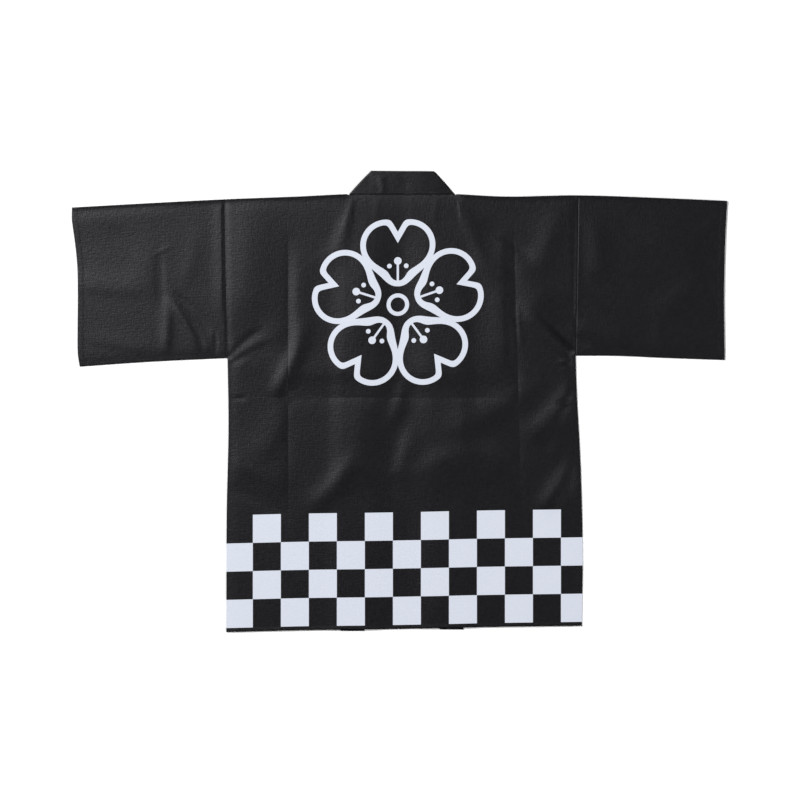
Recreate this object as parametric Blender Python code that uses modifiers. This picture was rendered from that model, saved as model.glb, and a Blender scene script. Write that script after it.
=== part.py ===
"""A happi coat laid flat, front down and back up, as the pieces of cloth that a maker cuts and sews.

+X runs to the wearer's right sleeve, +Y from hem to collar, +Z up out of the surface it lies on.
Lengths are in metres. The origin is on that surface, under the middle of the whole coat.
"""

from collections import namedtuple

import bpy
import numpy as np

# Driving sizes: the cloth and its clearances
WALL = 0.0010  # one layer of cloth
GAP = 0.0003  # clearance at a seam and between layers that touch
TURN = 0.0013  # outer radius of a turned or folded edge
BELLY = 0.0008  # how far a layer stands off the one below, away from its edges
EDGE_FADE = 0.012  # distance from an edge over which the cloth comes up off the layer below

# Driving sizes: the collar, a strip folded double
COLLAR_WIDTH = 0.0420
COLLAR_WALL = 2 * WALL + GAP
COLLAR_BEND = 0.0013  # radius of the middle of the strip where it is folded at the neck corners
NECK_LINE = 0.3697  # height along Y of the seam between back and collar
NECK_CORNERS = (-0.0874, 0.0945)  # where the collar's seam edge meets its two folds
TOP_SPREAD = (-0.0047, 0.0087)  # how far the free edge leans outwards at the folds
BAND_SPREAD = (-0.0145, 0.0165)  # how far the front bands drift outwards from neck to hem
BAND_HEMS = (-0.4098, -0.4072)  # lower ends of the two front bands
NECK_SAG = 0.0020  # dip of the neck band between its folds
NECK_SAG_HALF = 0.044  # distance from its middle over which it dips
BEND_SHIFT = COLLAR_BEND * np.pi / np.sqrt(2)  # how far a fold at 45 degrees shifts the strip

# The back's fit round the collar's two folds, as distances from the neck corners
NECK_TURN_END = 0.0080  # where the turned shoulder edge ends
NECK_CLEAR = 0.0049  # where the cut neck edge starts
NECK_NOTCH = 0.0022  # how far the back's neck edge is cut down there
FRONT_NOTCH = 0.0036  # the same on the fronts, whose corner lies against the fold

# What lies below the back, measured out from a front band's edges
BAND_RISE = 0.034  # where the back starts to rise or fall beside a band
BAND_CLEAR = 0.002  # where it has reached the band's height
BAND_FALL = 0.056  # where, between the bands, it has sunk to the surface

# Armpits, as points of the outline and as a share of the way from hem to shoulder
ARMPITS = ((-0.3077, 0.0735), (0.3140, 0.0800))
ARMPIT_AT = 0.6265
ARMPIT_OPENS = 0.004  # share of that way over which the side's turned edge opens into the armhole
LAST_TURN = 0.93  # how far an edge is turned at its last line, 1 being down to the surface

Place = namedtuple("Place", "at value")

# The back's two side edges: distance across at heights up the body
LEFT_SIDE = (
    Place(-0.4118, -0.3100),
    Place(-0.1980, -0.3092),
    Place(-0.0340, -0.3060),
    Place(0.0735, -0.3077),
    Place(0.2200, -0.3112),
    Place(0.3607, -0.3136),
)
RIGHT_SIDE = (
    Place(-0.4006, 0.3249),
    Place(-0.2840, 0.3265),
    Place(-0.1980, 0.3254),
    Place(-0.0870, 0.3215),
    Place(0.0020, 0.3166),
    Place(0.0800, 0.3140),
    Place(0.2200, 0.3162),
    Place(0.3678, 0.3180),
)

# Heights of the hem and of the shoulder folds at distances across, out to the cuffs
HEM = (
    Place(-0.3100, -0.4118),
    Place(-0.1790, -0.4086),
    Place(0.0000, -0.4062),
    Place(0.1430, -0.4031),
    Place(0.3250, -0.4006),
)
SHOULDERS = (
    Place(-0.5845, 0.3462),
    Place(-0.4470, 0.3539),
    Place(-0.3136, 0.3607),
    Place(-0.1790, 0.3658),
    Place(-0.0912, 0.3700),
    Place(0.0980, 0.3700),
    Place(0.1790, 0.3658),
    Place(0.3180, 0.3678),
    Place(0.4650, 0.3632),
    Place(0.5845, 0.3580),
)
LEFT_UNDERARM = (
    Place(-0.5725, 0.0621),
    Place(-0.4470, 0.0707),
    Place(-0.3080, 0.0774),
)
RIGHT_UNDERARM = (
    Place(0.3140, 0.0815),
    Place(0.3760, 0.0814),
    Place(0.4830, 0.0771),
    Place(0.5800, 0.0738),
)

# The sleeves' open ends: distance across at heights up the sleeve
LEFT_CUFF = (
    Place(0.0621, -0.5722),
    Place(0.2000, -0.5748),
    Place(0.2880, -0.5763),
    Place(0.3200, -0.5815),
    Place(0.3462, -0.5845),
)
RIGHT_CUFF = (
    Place(0.0738, 0.5800),
    Place(0.2020, 0.5789),
    Place(0.3170, 0.5822),
    Place(0.3580, 0.5845),
)

# Folds that show from a step away. Each runs from (x0, y0) to (x1, y1), bulging sideways by bow at
# its middle. height is its crest, or its bottom where below zero. left and right are how far its two
# flanks reach at the start, seen along its run, and spread is how much further at the end. fade is
# the share of the run over which it comes up at the start.
Fold = namedtuple("Fold", "x0 y0 x1 y1 bow height left right spread fade")
FOLDS = (
    # Left armpit: a low swell with two troughs that fan up from the corner
    Fold(-0.3113, 0.0590, -0.1932, 0.1413, 0.0, 0.0011, 0.0200, 0.0260, 1.2, 0.40),
    Fold(-0.3050, 0.0769, -0.2326, 0.1342, 0.0050, -0.0012, 0.0090, 0.0120, 1.8, 0.20),
    Fold(-0.3023, 0.0662, -0.2147, 0.1056, 0.0030, -0.0009, 0.0090, 0.0130, 1.8, 0.20),
    # Right armpit: one steep fold runs up to the packing crease
    Fold(0.3167, 0.0733, 0.2039, 0.1843, 0.0040, 0.0027, 0.0150, 0.0140, 1.5, 0.20),
    Fold(0.3220, 0.0912, 0.2397, 0.1807, 0.0040, -0.0016, 0.0090, 0.0160, 1.5, 0.20),
    # Pleats spreading from the two ends of the neck, and a swell below the left one
    Fold(-0.0877, 0.3632, -0.1395, 0.2272, 0.0100, 0.0013, 0.0090, 0.0090, 2.8, 0.20),
    Fold(0.1056, 0.3596, 0.1717, 0.1950, -0.0080, 0.0021, 0.0090, 0.0120, 2.6, 0.20),
    Fold(-0.0644, 0.3310, -0.0859, 0.0304, 0.0040, 0.0016, 0.0300, 0.0260, 1.2, 0.50),
    # Upper back: a broad roll beside each sleeve seam, and a small crease on the right
    Fold(-0.2683, 0.3667, -0.2898, 0.1270, 0.0060, 0.0022, 0.0580, 0.0240, 1.0, 0.60),
    Fold(0.1789, 0.2952, 0.2970, 0.1199, -0.0040, 0.0016, 0.0240, 0.0200, 1.1, 0.50),
    Fold(0.2827, 0.3489, 0.2361, 0.2129, 0.0040, 0.0014, 0.0200, 0.0200, 1.1, 0.60),
    # Along the packing creases
    Fold(-0.1807, 0.2773, -0.1789, 0.0590, -0.0030, 0.0015, 0.0280, 0.0100, 1.1, 0.50),
    Fold(-0.1700, 0.1413, -0.2326, -0.0089, 0.0070, 0.0030, 0.0140, 0.0150, 1.1, 0.60),
    Fold(0.1771, 0.2952, 0.1914, 0.0161, 0.0020, 0.0028, 0.0110, 0.0300, 1.1, 0.50),
    Fold(-0.2147, 0.0519, 0.2326, 0.0483, 0.0030, 0.0010, 0.0300, 0.0180, 1.0, 0.30),
    Fold(0.0143, 0.0590, -0.0197, -0.0555, 0.0020, 0.0014, 0.0120, 0.0100, 1.3, 0.60),
    # Broad rolls of the lower back
    Fold(0.3220, 0.0411, 0.2218, -0.0805, 0.0050, 0.0029, 0.0140, 0.0180, 1.3, 0.50),
    Fold(-0.0716, 0.0197, -0.0716, -0.1771, -0.0030, 0.0020, 0.0260, 0.0380, 1.1, 0.50),
    Fold(0.2576, 0.0376, 0.0429, -0.0698, 0.0090, 0.0022, 0.0220, 0.0260, 1.2, 0.50),
    Fold(-0.1968, -0.0018, -0.2612, -0.1163, 0.0050, 0.0011, 0.0160, 0.0280, 1.1, 0.60),
    Fold(-0.0716, -0.0841, -0.1717, -0.2057, 0.0060, 0.0023, 0.0180, 0.0160, 1.2, 0.60),
    Fold(0.0250, -0.0304, -0.0107, -0.1592, 0.0040, 0.0024, 0.0240, 0.0150, 1.2, 0.60),
    Fold(0.3184, -0.0912, 0.2397, -0.2129, 0.0050, 0.0030, 0.0200, 0.0170, 1.2, 0.60),
    Fold(-0.0143, -0.1771, 0.2648, -0.1556, 0.0700, 0.0024, 0.0260, 0.0480, 1.0, 0.50),
    Fold(-0.3149, -0.1056, -0.1825, -0.1664, 0.0080, 0.0014, 0.0440, 0.0160, 1.2, 0.50),
    Fold(0.2898, -0.0018, 0.2683, -0.1234, 0.0030, 0.0010, 0.0120, 0.0120, 1.2, 0.60),
    # Left sleeve: a soft pucker up from the foot
    Fold(-0.4115, 0.1843, -0.4168, 0.0733, -0.0010, 0.0015, 0.0090, 0.0120, 0.9, 0.70),
    # Right sleeve, nearly smooth
    Fold(0.3077, 0.1306, 0.4294, 0.1038, 0.0030, 0.0012, 0.0180, 0.0140, 1.1, 0.30),
    Fold(0.2988, 0.3489, 0.3059, 0.1270, 0.0020, 0.0020, 0.0120, 0.0800, 1.0, 0.30),
    Fold(0.3453, 0.3381, 0.3560, 0.1986, 0.0020, 0.0014, 0.0180, 0.0180, 1.1, 0.60),
    Fold(0.4150, 0.3095, 0.5510, 0.2415, 0.0060, 0.0014, 0.0260, 0.0240, 1.1, 0.60),
    Fold(0.5510, 0.2344, 0.4401, 0.1413, 0.0050, 0.0013, 0.0220, 0.0220, 1.1, 0.60),
)

# Pressed packing creases, shallow valleys with a sharp bottom
CREASES = (
    Fold(-0.1995, 0.2880, -0.1995, -0.2576, 0.0, -0.0010, 0.0080, 0.0070, 1.0, 0.30),
    Fold(0.2036, 0.2952, 0.2190, -0.2576, 0.0, -0.0010, 0.0080, 0.0080, 1.0, 0.30),
    Fold(-0.2326, 0.0068, 0.2505, 0.0061, 0.0, -0.0011, 0.0240, 0.0100, 1.0, 0.20),
)

# How a fold's height fades, as shares of its run: up from a little before its start, down to its end
FADE_IN_FROM = -0.12
FADE_OUT = 0.35
SOFT_FLOOR = 0.0002  # how softly a trough comes to rest on the layer below

# How finely the cloth is divided, and how the size of its steps changes: finer by the armpits
SIDE_COLUMNS = 9
SIDE_STEPS = (12, 30)
RAMP_COLUMNS = 2
BAND_COLUMNS = 3
MIDDLE_COLUMNS = 4
LOWER_ROWS = 18
LOWER_STEPS = (32, 15)
UPPER_ROWS = 13
UPPER_STEPS = (12, 30)
TURN_STEPS = 4
EDGE_STEPS = 5
EDGE_ARC = np.pi / 3  # reach of the steps each side of a pressed edge's middle
FRONT_COLUMNS = 7
FRONT_CORNER_AT = 0.97
SLEEVE_COLUMNS = 13
SLEEVE_ROWS = 14
SLEEVE_UNDER_ROWS = 6
BAND_ROWS = 10
BAND_STEPS = (3, 1)
FOLD_STEPS = 6
NECK_STEPS = 8

BLACK_CLOTH = (0.018, 0.018, 0.021, 1.0)
BLACK_COLLAR = (0.016, 0.016, 0.019, 1.0)
CLOTH_ROUGHNESS = 0.62


def along(places, at):
    """Value of a smooth line through the places, at one distance or an array of them."""
    distance, value = np.array(places, float).T
    slope = np.gradient(value, distance)
    at = np.clip(at, distance[0], distance[-1])
    low = np.clip(np.searchsorted(distance, at) - 1, 0, len(distance) - 2)
    step = distance[low + 1] - distance[low]
    t = (at - distance[low]) / step
    return (
        value[low] * (1 + 2 * t) * (1 - t) ** 2
        + value[low + 1] * t**2 * (3 - 2 * t)
        + step * slope[low] * t * (1 - t) ** 2
        - step * slope[low + 1] * t**2 * (1 - t)
    )


def ease(t):
    """0 to 1 with level ends, for t from 0 to 1."""
    t = np.clip(t, 0, 1)
    return t * t * (3 - 2 * t)


def graded(count, first=1, last=1):
    """count + 1 places from 0 to 1 whose steps change evenly in size from first to last."""
    steps = np.linspace(first, last, count)
    return np.concatenate([[0], np.cumsum(steps)]) / steps.sum()


def band_edges(y):
    """The outer and inner edges of the two front bands of the collar at height y, left to right."""
    drop = (NECK_LINE - y) / (NECK_LINE - BAND_HEMS[0])
    left = NECK_CORNERS[0] - BEND_SHIFT + BAND_SPREAD[0] * drop
    right = NECK_CORNERS[1] + BEND_SHIFT + BAND_SPREAD[1] * drop
    return left, left + COLLAR_WIDTH, right - COLLAR_WIDTH, right


def layer_below(x, y):
    """Height of whatever lies under the back: the fronts, the collar's bands, or the surface."""
    outer_left, inner_left, inner_right, outer_right = band_edges(y)

    def over(outer, inner):
        rise = ease((outer + BAND_RISE) / (BAND_RISE - BAND_CLEAR))
        fall = ease((inner - BAND_CLEAR) / (BAND_FALL - BAND_CLEAR))
        return WALL + (COLLAR_WALL - WALL) * rise - COLLAR_WALL * fall

    left = over(x - outer_left, x - inner_left)
    right = over(outer_right - x, inner_right - x)
    return np.maximum(left, right)


def shape_of(fold, x, y, sharp):
    """Height that one fold adds: flanks falling off either side of a bowed line, fading at its ends."""
    run = np.array([fold.x1 - fold.x0, fold.y1 - fold.y0])
    length = np.hypot(*run)
    run = run / length
    t = ((x - fold.x0) * run[0] + (y - fold.y0) * run[1]) / length
    across = (y - fold.y0) * run[0] - (x - fold.x0) * run[1]
    t_in = np.clip(t, 0, 1)
    across = across - fold.bow * 4 * t_in * (1 - t_in)
    reach = np.where(across > 0, fold.left, fold.right) * (1 + (fold.spread - 1) * t_in)
    beyond = np.maximum(np.abs(t - 0.5) - 0.5, 0) * length
    far = np.hypot(across, beyond) / reach
    flank = np.exp(-far) if sharp else np.exp(-(far**2))
    fade = ease((1 - t) / FADE_OUT) * ease((t - FADE_IN_FROM) / fold.fade)
    return fold.height * flank * fade


def inset(x, y):
    """Distance in from the nearest turned edge: shoulder folds, side seams and underarm seams."""
    from_top = along(SHOULDERS, x) - y
    sides = (
        (x - along(LEFT_SIDE, y), ARMPITS[0][1], y - along(LEFT_UNDERARM, x)),
        (along(RIGHT_SIDE, y) - x, ARMPITS[1][1], y - along(RIGHT_UNDERARM, x)),
    )
    nearest = from_top
    for from_side, armpit, from_underarm in sides:
        on_body = np.hypot(np.maximum(from_side, 0), np.maximum(y - armpit, 0))
        nearest = np.minimum(nearest, np.where(from_side > 0, on_body, from_underarm))
    return np.maximum(nearest, 0)


def top_height(x, y, on_body):
    """Height of the cloth's upper face: the layer below, the belly of the cloth and its folds."""
    below = layer_below(x, y) if on_body else np.full_like(x, WALL)
    stand = np.full_like(x, BELLY)
    for fold in FOLDS:
        stand = stand + shape_of(fold, x, y, sharp=False)
    for crease in CREASES:
        stand = stand + shape_of(crease, x, y, sharp=True)
    stand = (stand + np.sqrt(stand**2 + SOFT_FLOOR**2)) / 2
    stand = stand * (1 - np.exp(-((inset(x, y) / EDGE_FADE) ** 2)))
    return below + GAP + WALL + stand


def edge_lines():
    """The lines of an edge from its foot inwards: inset if turned down, inset if flat, and drop.

    A turned edge stands on the surface and bends over by a quarter turn into the upper face.
    """
    angle = np.linspace(0, np.pi / 2, TURN_STEPS)
    turned_in = np.append(0, TURN * (1 - np.cos(angle)))
    flat_in = np.linspace(0, TURN, TURN_STEPS + 1)
    drop = np.append(np.inf, TURN * (1 - np.sin(angle)))
    return turned_in, flat_in, drop


def add_piece(name, mesh, color):
    """An object with its own cloth material, in the coat's collection."""
    piece = bpy.data.objects.new(name, mesh)
    coat.objects.link(piece)
    material = bpy.data.materials.new(name)
    material.use_nodes = True
    shader = material.node_tree.nodes["Principled BSDF"]
    shader.inputs["Base Color"].default_value = color
    shader.inputs["Roughness"].default_value = CLOTH_ROUGHNESS
    shader.inputs["Metallic"].default_value = 0.0
    mesh.materials.append(material)
    return piece


def loft_mesh(name, points, ring, capped=False):
    """A mesh through rows of points. Each row closes on itself if ring, and both ends if capped."""
    rows, columns = points.shape[:2]
    index = np.arange(rows * columns).reshape(rows, columns)
    around = np.hstack([index, index[:, :1]]) if ring else index
    corners = (around[:-1, :-1], around[:-1, 1:], around[1:, 1:], around[1:, :-1])
    faces = np.stack(corners, axis=-1).reshape(-1, 4).tolist()
    if capped:
        faces += [index[0, ::-1].tolist(), index[-1].tolist()]
    mesh = bpy.data.meshes.new(name)
    mesh.from_pydata(points.reshape(-1, 3).tolist(), [], faces)
    mesh.shade_smooth()
    return mesh


def add_cloth(name, points, ring=False):
    """A wall of cloth inside its outer face, which runs through the rows of points."""
    piece = add_piece(name, loft_mesh(name, points, ring), BLACK_CLOTH)
    wall = piece.modifiers.new("Wall", "SOLIDIFY")
    wall.thickness = WALL
    wall.offset = -1
    wall.use_even_offset = True


def back_lines(place, left, right):
    """Distances across the back at each row, one column for each line that runs up it.

    There is a line each side of every step in what lies below, and each side of the place where
    the shoulder fold opens out into the neck seam.
    """
    y = BAND_HEMS[0] + (NECK_LINE - BAND_HEMS[0]) * place
    outer_left, inner_left, inner_right, outer_right = band_edges(y)
    keys = (
        left + TURN,
        outer_left - BAND_RISE,
        outer_left + BEND_SHIFT - NECK_TURN_END,
        outer_left + BEND_SHIFT - NECK_CLEAR,
        inner_left + BAND_CLEAR,
        inner_left + BAND_RISE,
        inner_right - BAND_RISE,
        inner_right - BAND_CLEAR,
        outer_right - BEND_SHIFT + NECK_CLEAR,
        outer_right - BEND_SHIFT + NECK_TURN_END,
        outer_right + BAND_RISE,
        right - TURN,
    )
    side = graded(SIDE_COLUMNS, *SIDE_STEPS)
    band = graded(BAND_COLUMNS)
    middle = graded(MIDDLE_COLUMNS)
    one = graded(1)
    ramp = graded(RAMP_COLUMNS)
    other_side = 1 - side[::-1]
    steps = (side, ramp, one, band, ramp, middle, ramp, band, one, ramp, other_side)
    lines = [keys[0]]
    for start, end, places in zip(keys[:-1], keys[1:], steps):
        lines += [start + (end - start) * at for at in places[1:]]
    return np.stack(lines, axis=-1)


def make_back():
    """Turned down to the surface along the shoulders and the side seams, and cut elsewhere."""
    turned_in, flat_in, drop = edge_lines()
    armhole = ARMPIT_AT + ARMPIT_OPENS
    lower = graded(LOWER_ROWS, *LOWER_STEPS) * ARMPIT_AT
    upper = armhole + graded(UPPER_ROWS, *UPPER_STEPS) * (1 - armhole)
    place = np.concatenate([lower, upper, np.ones(TURN_STEPS)])
    row_line = np.append(np.full(len(lower) + len(upper), TURN_STEPS), np.arange(TURN_STEPS)[::-1])
    row_turn = np.interp(
        place,
        [ARMPIT_AT - ARMPIT_OPENS, ARMPIT_AT, ARMPIT_AT + ARMPIT_OPENS],
        [1, LAST_TURN, 0],
    )[:, None]

    # Across: the lines up the back, with a turned or flat edge each side
    left, right = (
        along(side, side[0].at + (side[-1].at - TURN - side[0].at) * place)
        for side in (LEFT_SIDE, RIGHT_SIDE)
    )
    lines = back_lines(place, left, right)
    edge_line = np.arange(TURN_STEPS)
    edge_in = row_turn * turned_in[edge_line] + (1 - row_turn) * flat_in[edge_line]
    x = np.hstack([left[:, None] + edge_in, lines, right[:, None] - edge_in[:, ::-1]])
    column_line = np.concatenate([edge_line, np.full(lines.shape[1], TURN_STEPS), edge_line[::-1]])

    # Up: from the hem to the shoulder folds, or to the cut neck edge between them
    top_x = x[-1]
    outside_neck = np.maximum(NECK_CORNERS[0] - top_x, top_x - NECK_CORNERS[1])
    column_turn = np.interp(
        outside_neck, [NECK_CLEAR, NECK_TURN_END, NECK_TURN_END + TURN], [0, LAST_TURN, 1]
    )
    neck_edge = NECK_LINE - np.where(outside_neck > 0, NECK_NOTCH, GAP)
    at_neck = outside_neck < (NECK_TURN_END + NECK_CLEAR) / 2
    top = np.where(at_neck, neck_edge, along(SHOULDERS, top_x))
    hem = along(HEM, x[0])
    top_in = column_turn * turned_in[row_line][:, None] + (1 - column_turn) * flat_in[row_line][:, None]
    y = hem + (top - top_in - hem) * place[:, None]

    z = top_height(x, y, on_body=True)
    side_drop = row_turn * np.minimum(drop[column_line], z)
    top_drop = column_turn * np.minimum(drop[row_line][:, None], z)
    z = z - np.maximum(side_drop, top_drop)
    add_cloth("back", np.stack([x, y, z], axis=-1))


def make_front(name, side):
    """Flat on the surface, inside the back's turned edges, out to the armhole above the armpit."""
    inside = WALL + 2 * GAP
    seam = LEFT_SIDE if side < 0 else RIGHT_SIDE
    armpit = ARMPIT_AT + ARMPIT_OPENS
    armhole = armpit + ARMPIT_OPENS
    lower = graded(LOWER_ROWS, *LOWER_STEPS) * armpit
    upper = armhole + graded(UPPER_ROWS, *UPPER_STEPS) * (1 - armhole)
    place = np.concatenate([lower, upper])
    in_at_side = np.concatenate([np.full(len(lower), inside), np.zeros(len(upper))])
    side_y = seam[0].at + (seam[-1].at - seam[0].at) * place
    outer = along(seam, side_y) - side * in_at_side
    bands = band_edges(side_y)
    inner = (bands[0] if side < 0 else bands[3]) + side * GAP
    across = np.append(graded(FRONT_COLUMNS) * FRONT_CORNER_AT, 1)
    x = outer[:, None] + (inner - outer)[:, None] * across
    top = along(SHOULDERS, x[-1]) - inside
    top[-1] = NECK_LINE - FRONT_NOTCH
    hem = along(HEM, x[0])
    y = hem + (top - hem) * place[:, None]
    z = np.full_like(x, WALL)
    points = np.stack([x, y, z], axis=-1)
    add_cloth(name, points if side < 0 else points[:, ::-1])


def make_sleeve(name, side):
    """A tube pressed flat: the fold along the top, the seam below, open at armhole and cuff."""
    seam, cuff, underarm = (
        (LEFT_SIDE, LEFT_CUFF, LEFT_UNDERARM) if side < 0 else (RIGHT_SIDE, RIGHT_CUFF, RIGHT_UNDERARM)
    )
    radius = WALL + GAP / 2
    bend = np.linspace(-EDGE_ARC, EDGE_ARC, EDGE_STEPS)
    under = graded(SLEEVE_UNDER_ROWS)
    over = 1 - graded(SLEEVE_ROWS)

    # Round the tube: place between the two edges' centres, reach past them, and height
    place = np.concatenate([under, np.ones(EDGE_STEPS), over, np.zeros(EDGE_STEPS)])
    reach = np.concatenate(
        [under * 0, radius * np.cos(bend), over * 0, -radius * np.cos(bend)]
    )
    height = np.concatenate(
        [under * 0, radius + radius * np.sin(bend), over * 0, radius - radius * np.sin(bend)]
    )
    is_upper = np.concatenate(
        [under * 0, np.zeros(EDGE_STEPS), over * 0 + 1, np.zeros(EDGE_STEPS)]
    )

    out = graded(SLEEVE_COLUMNS, *SIDE_STEPS)[:, None]
    x = seam[-1].value + (cuff[-1].value - seam[-1].value) * out + np.zeros(len(place))
    for _ in range(2):
        low = along(underarm, x) + radius
        high = along(SHOULDERS, x) - radius
        y = low + (high - low) * place + reach
        start = along(seam, y) + side * GAP
        x = start + (along(cuff, y) - start) * out
    z = np.where(is_upper > 0, top_height(x, y, on_body=False), height)
    points = np.stack([x, y, z], axis=-1)
    add_cloth(name, points if side > 0 else points[::-1], ring=True)


def collar_section():
    """Round the folded strip: (place across from seam edge to free edge, height off its middle)."""
    half = COLLAR_WALL / 2
    slit = GAP / 2
    fold_at = COLLAR_WIDTH - half
    bend = np.linspace(-EDGE_ARC, EDGE_ARC, EDGE_STEPS)
    across = np.linspace(0, fold_at, BAND_COLUMNS + 1)
    lower = [(c, -half) for c in across]
    fold = [(fold_at + half * np.cos(a), half * np.sin(a)) for a in bend]
    upper = [(c, half) for c in across[::-1]]
    inside = [(0, slit), (fold_at, slit), (fold_at, -slit), (0, -slit)]
    return np.array(lower + fold + upper + inside)


def collar_half(corner, side, hem):
    """Places along the unfolded strip, at its seam edge and its free edge, from hem to neck fold."""
    bend_end = np.pi * COLLAR_BEND * np.sqrt(2)
    at_hem = NECK_LINE + BEND_SHIFT - hem
    share = graded(BAND_ROWS, *BAND_STEPS)[:-1]
    seam_out = at_hem + (bend_end - at_hem) * share
    free_out = at_hem + (bend_end - COLLAR_WIDTH - at_hem) * share
    bend = np.linspace(bend_end, 0, FOLD_STEPS + 1)
    seam_out = np.append(seam_out, bend)
    free_out = np.append(free_out, bend - COLLAR_WIDTH)
    return corner + side * seam_out, corner + side * free_out


def folded_under(x, across, off, corner, side):
    """Where a point of the straight strip goes when its end is folded under at 45 degrees."""
    out = side * (x - corner)
    beyond = (out + across) / np.sqrt(2)
    down = (out - across) / np.sqrt(2)
    turn = np.clip(beyond / COLLAR_BEND, 0, np.pi)
    radius = COLLAR_BEND + off
    past = np.maximum(beyond - np.pi * COLLAR_BEND, 0)
    outward = np.minimum(beyond, 0) + radius * np.sin(turn) - past
    return (
        corner + side * (outward + down) / np.sqrt(2),
        NECK_LINE + (outward - down) / np.sqrt(2),
        COLLAR_BEND + COLLAR_WALL / 2 + radius * np.cos(turn),
    )


def make_collar():
    """One strip, folded double along its free edge, and folded under at both neck corners."""
    across, off = collar_section().T
    left_seam, left_free = collar_half(NECK_CORNERS[0], -1, BAND_HEMS[0])
    right_seam, right_free = collar_half(NECK_CORNERS[1], 1, BAND_HEMS[1])
    neck = graded(NECK_STEPS)[1:-1]
    seam = np.concatenate(
        [left_seam, left_seam[-1] + (right_seam[-1] - left_seam[-1]) * neck, right_seam[::-1]]
    )
    free = np.concatenate(
        [left_free, left_free[-1] + (right_free[-1] - left_free[-1]) * neck, right_free[::-1]]
    )
    strip_x = seam[:, None] + (free - seam)[:, None] * across / COLLAR_WIDTH
    centre = sum(NECK_CORNERS) / 2
    on_left = (seam + free)[:, None] / 2 < centre
    left = folded_under(strip_x, across, off, NECK_CORNERS[0], -1)
    right = folded_under(strip_x, across, off, NECK_CORNERS[1], 1)
    x, y, z = (np.where(on_left, a, b) for a, b in zip(left, right))

    # The free edge leans outwards at the folds, and the front bands drift apart towards the hem
    above = np.clip((y - NECK_LINE) / COLLAR_WIDTH, 0, None)
    below = np.clip((NECK_LINE - y) / (NECK_LINE - BAND_HEMS[0]), 0, None)
    lean = np.interp(x, NECK_CORNERS, TOP_SPREAD)
    sag = np.clip(np.abs(x - centre) / NECK_SAG_HALF, 0, 1)
    z = z - NECK_SAG * (1 + np.cos(np.pi * sag)) / 2
    x = x + lean * above + np.where(on_left, *BAND_SPREAD) * below
    points = np.stack([x, y, z], axis=-1)
    add_piece("collar", loft_mesh("collar", points, ring=True, capped=True), BLACK_COLLAR)


for old in list(bpy.data.objects):
    bpy.data.objects.remove(old, do_unlink=True)
coat = bpy.data.collections.new("happi_coat")
bpy.context.scene.collection.children.link(coat)

make_back()
make_front("front_left", -1)
make_front("front_right", 1)
make_sleeve("sleeve_left", -1)
make_sleeve("sleeve_right", 1)
make_collar()
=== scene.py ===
"""A happi coat laid flat, front down and back up: its cloth, its print and its stitching.

+X runs to the wearer's right sleeve, +Y from hem to collar, +Z up out of the surface it lies on.
Lengths are in metres.
"""

from collections import namedtuple

import bpy
import numpy as np
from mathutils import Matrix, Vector
from mathutils.bvhtree import BVHTree


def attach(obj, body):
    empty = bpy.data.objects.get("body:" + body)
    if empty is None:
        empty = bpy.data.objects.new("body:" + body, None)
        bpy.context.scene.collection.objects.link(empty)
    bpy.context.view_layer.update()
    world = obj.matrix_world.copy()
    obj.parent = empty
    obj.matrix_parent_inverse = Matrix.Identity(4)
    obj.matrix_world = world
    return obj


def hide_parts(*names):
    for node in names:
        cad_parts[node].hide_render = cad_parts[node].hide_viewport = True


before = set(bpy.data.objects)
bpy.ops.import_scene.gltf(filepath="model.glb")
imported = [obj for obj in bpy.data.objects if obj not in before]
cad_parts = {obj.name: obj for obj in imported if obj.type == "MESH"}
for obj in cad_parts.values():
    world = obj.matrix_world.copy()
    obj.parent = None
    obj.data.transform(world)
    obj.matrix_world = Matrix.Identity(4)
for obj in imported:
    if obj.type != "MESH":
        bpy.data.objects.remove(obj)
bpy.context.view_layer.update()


# The two front panels.
# Straight lengths of black cotton and polyester cloth, cut from the same printed width as the back.
# They lie face down on the surface, their side edges inside the back's and their inner ones against
# the collar, with the four rows of checks round the hem.

LAYER = 0.0010  # height that the coat's solids allow for one layer of cloth
CLOTH = 0.0005  # thickness of the cloth itself
GAP = 0.0003
TURN = 0.0007  # outer radius of a turned edge
HEM_STRIP = 0.0050  # width of the turned-up hem

Place = namedtuple("Place", "at value")
HEM = (
    Place(-0.31, -0.4118),
    Place(-0.179, -0.4086),
    Place(0.0000, -0.4062),
    Place(0.143, -0.4031),
    Place(0.325, -0.4006),
)
SHOULDERS = (
    Place(-0.5845, 0.3462),
    Place(-0.447, 0.3539),
    Place(-0.3136, 0.3607),
    Place(-0.179, 0.3658),
    Place(-0.0912, 0.37),
    Place(0.098, 0.37),
    Place(0.179, 0.3658),
    Place(0.318, 0.3678),
    Place(0.465, 0.3632),
    Place(0.5845, 0.358),
)
LEFT_SIDE = (
    Place(-0.4118, -0.31),
    Place(-0.198, -0.3092),
    Place(-0.034, -0.306),
    Place(0.0735, -0.3077),
    Place(0.22, -0.3112),
    Place(0.3607, -0.3136),
)
RIGHT_SIDE = (
    Place(-0.4006, 0.3249),
    Place(-0.284, 0.3265),
    Place(-0.198, 0.3254),
    Place(-0.087, 0.3215),
    Place(0.002, 0.3166),
    Place(0.08, 0.314),
    Place(0.22, 0.3162),
    Place(0.3678, 0.318),
)
ARMPITS = ((-0.3077, 0.0735), (0.3140, 0.0800))
ARMPIT_OPENS = 0.003  # length over which the turned side opens at the armpit

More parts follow.
